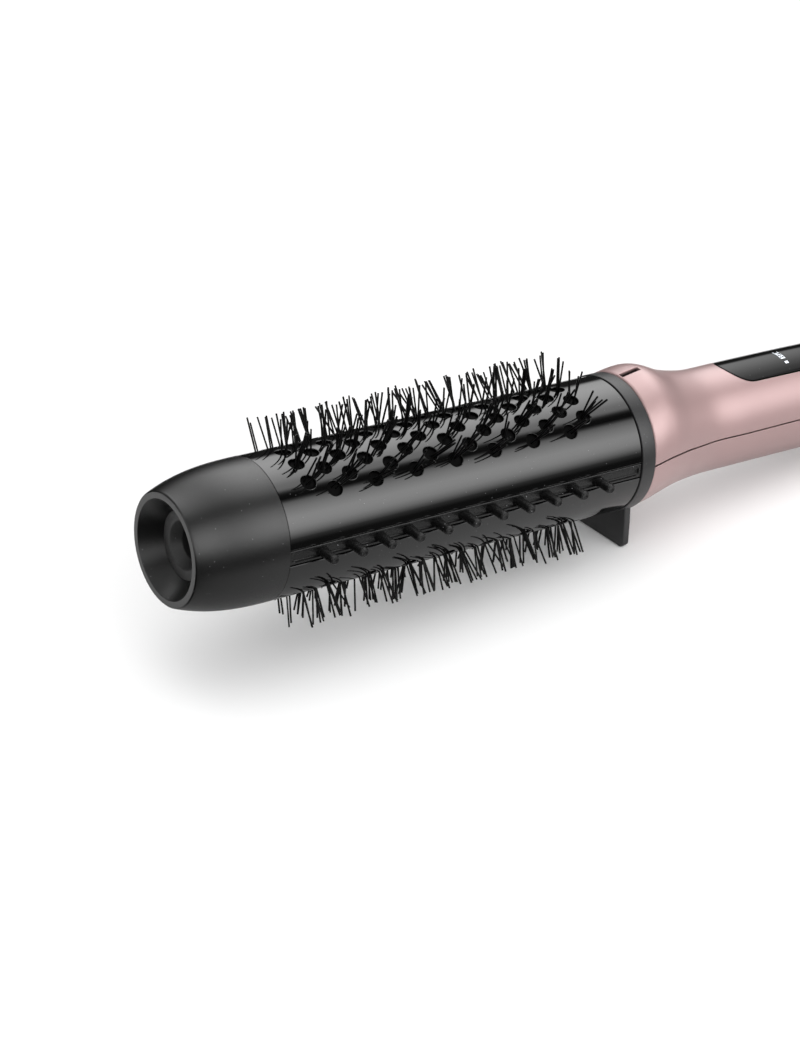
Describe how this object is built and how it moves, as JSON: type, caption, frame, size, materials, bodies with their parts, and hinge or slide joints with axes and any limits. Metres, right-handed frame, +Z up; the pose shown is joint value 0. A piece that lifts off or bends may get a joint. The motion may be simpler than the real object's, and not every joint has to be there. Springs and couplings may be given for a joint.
{
  "type": "hot air brush",
  "caption": "Hot air styling brush with a round heated barrel, bristles in vent holes, side comb strips, dished cool tip, stand foot and slim handle with a display.",
  "frame": {"origin": "centre of the bounding box's underside, on the surface that the brush lies on", "axes": "+X from the tip towards the handle's end, along the brush; +Z up; +Y across, away from the viewer's side"},
  "size_m": [0.3844, 0.065, 0.0853],
  "materials": {
    "soft_black": "soft-touch black",
    "gloss_barrel": "gloss black ceramic coat on aluminium",
    "carrier_black": "matte black, heat resistant",
    "bristle_nylon": "black nylon with a faint sheen",
    "comb_rubber": "frosted dark silicone rubber",
    "core_aluminium": "plain drawn",
    "heater_plate": "aluminium cased heater",
    "collar_black": "satin black",
    "rose_gold": "satin rose gold metallic paint",
    "ion_white": "off-white",
    "panel_gloss": "gloss black, smoked",
    "readout": "lit white",
    "board_green": "solder mask green",
    "key_rubber": "grey silicone",
    "button_black": "satin black",
    "steel": "plain",
    "mica_board": "pressed mica",
    "resistance_wire": "oxidised",
    "fan_plastic": "moulded dark grey",
    "motor_can": "zinc plated",
    "filter_mesh": "dark grey"
  },
  "bodies": {
    "brush": {"tip_cap": "soft_black", "tip_insert": "soft_black", "tip_screw": "steel", "barrel_tube": "gloss_barrel", "bristle_carrier_upper": "carrier_black", "bristle_carrier_lower": "carrier_black", "bristles_upper": "bristle_nylon", "bristles_lower": "bristle_nylon", "comb_strip_near": "comb_rubber", "comb_strip_far": "comb_rubber", "core_tube": "core_aluminium", "barrel_heater_upper": "heater_plate", "barrel_heater_lower": "heater_plate", "barrel_bulkhead": "carrier_black", "stand_collar": "collar_black", "handle_upper_shell": "rose_gold", "handle_lower_shell": "rose_gold", "ion_emitter": "ion_white", "display_panel": "panel_gloss", "display_digits": "readout", "display_board": "board_green", "control_board": "board_green", "key_mat": "key_rubber", "heat_shield": "steel", "mica_frame": "mica_board", "heating_coil": "resistance_wire", "thermal_cutout": "ion_white", "fan_housing": "fan_plastic", "motor_cradle": "fan_plastic", "motor": "motor_can", "intake_cap": "soft_black", "filter_disc": "filter_mesh", "shell_screws": "steel"},
    "power_key": {"power_button": "button_black"},
    "plus_key": {"plus_button": "button_black"},
    "minus_key": {"minus_button": "button_black"},
    "fan_rotor": {"motor_shaft": "steel", "fan_impeller": "fan_plastic"},
    "swivel": {"swivel_gland": "soft_black", "gland_clip": "steel"}
  },
  "joints": [
    {"name": "power_press", "type": "slide", "parent": "brush", "child": "power_key", "axis": [-0.0851, 0, -0.9964], "range_m": [0, 0.0006], "stiffness_N_per_m": 900, "springref_m": -0.0002},
    {"name": "plus_press", "type": "slide", "parent": "brush", "child": "plus_key", "axis": [-0.0851, 0, -0.9964], "range_m": [0, 0.0006], "stiffness_N_per_m": 900, "springref_m": -0.0002},
    {"name": "minus_press", "type": "slide", "parent": "brush", "child": "minus_key", "axis": [-0.0851, 0, -0.9964], "range_m": [0, 0.0006], "stiffness_N_per_m": 900, "springref_m": -0.0002},
    {"name": "fan_spin", "type": "hinge", "parent": "brush", "child": "fan_rotor", "pos_m": [0.10493, 0, 0.02371], "axis": [0.9964, 0, -0.0851], "continuous": true},
    {"name": "cord_swivel", "type": "hinge", "parent": "brush", "child": "swivel", "pos_m": [0.18082, 0, 0.01924], "axis": [0.9964, 0, -0.0851], "continuous": true}
  ]
}
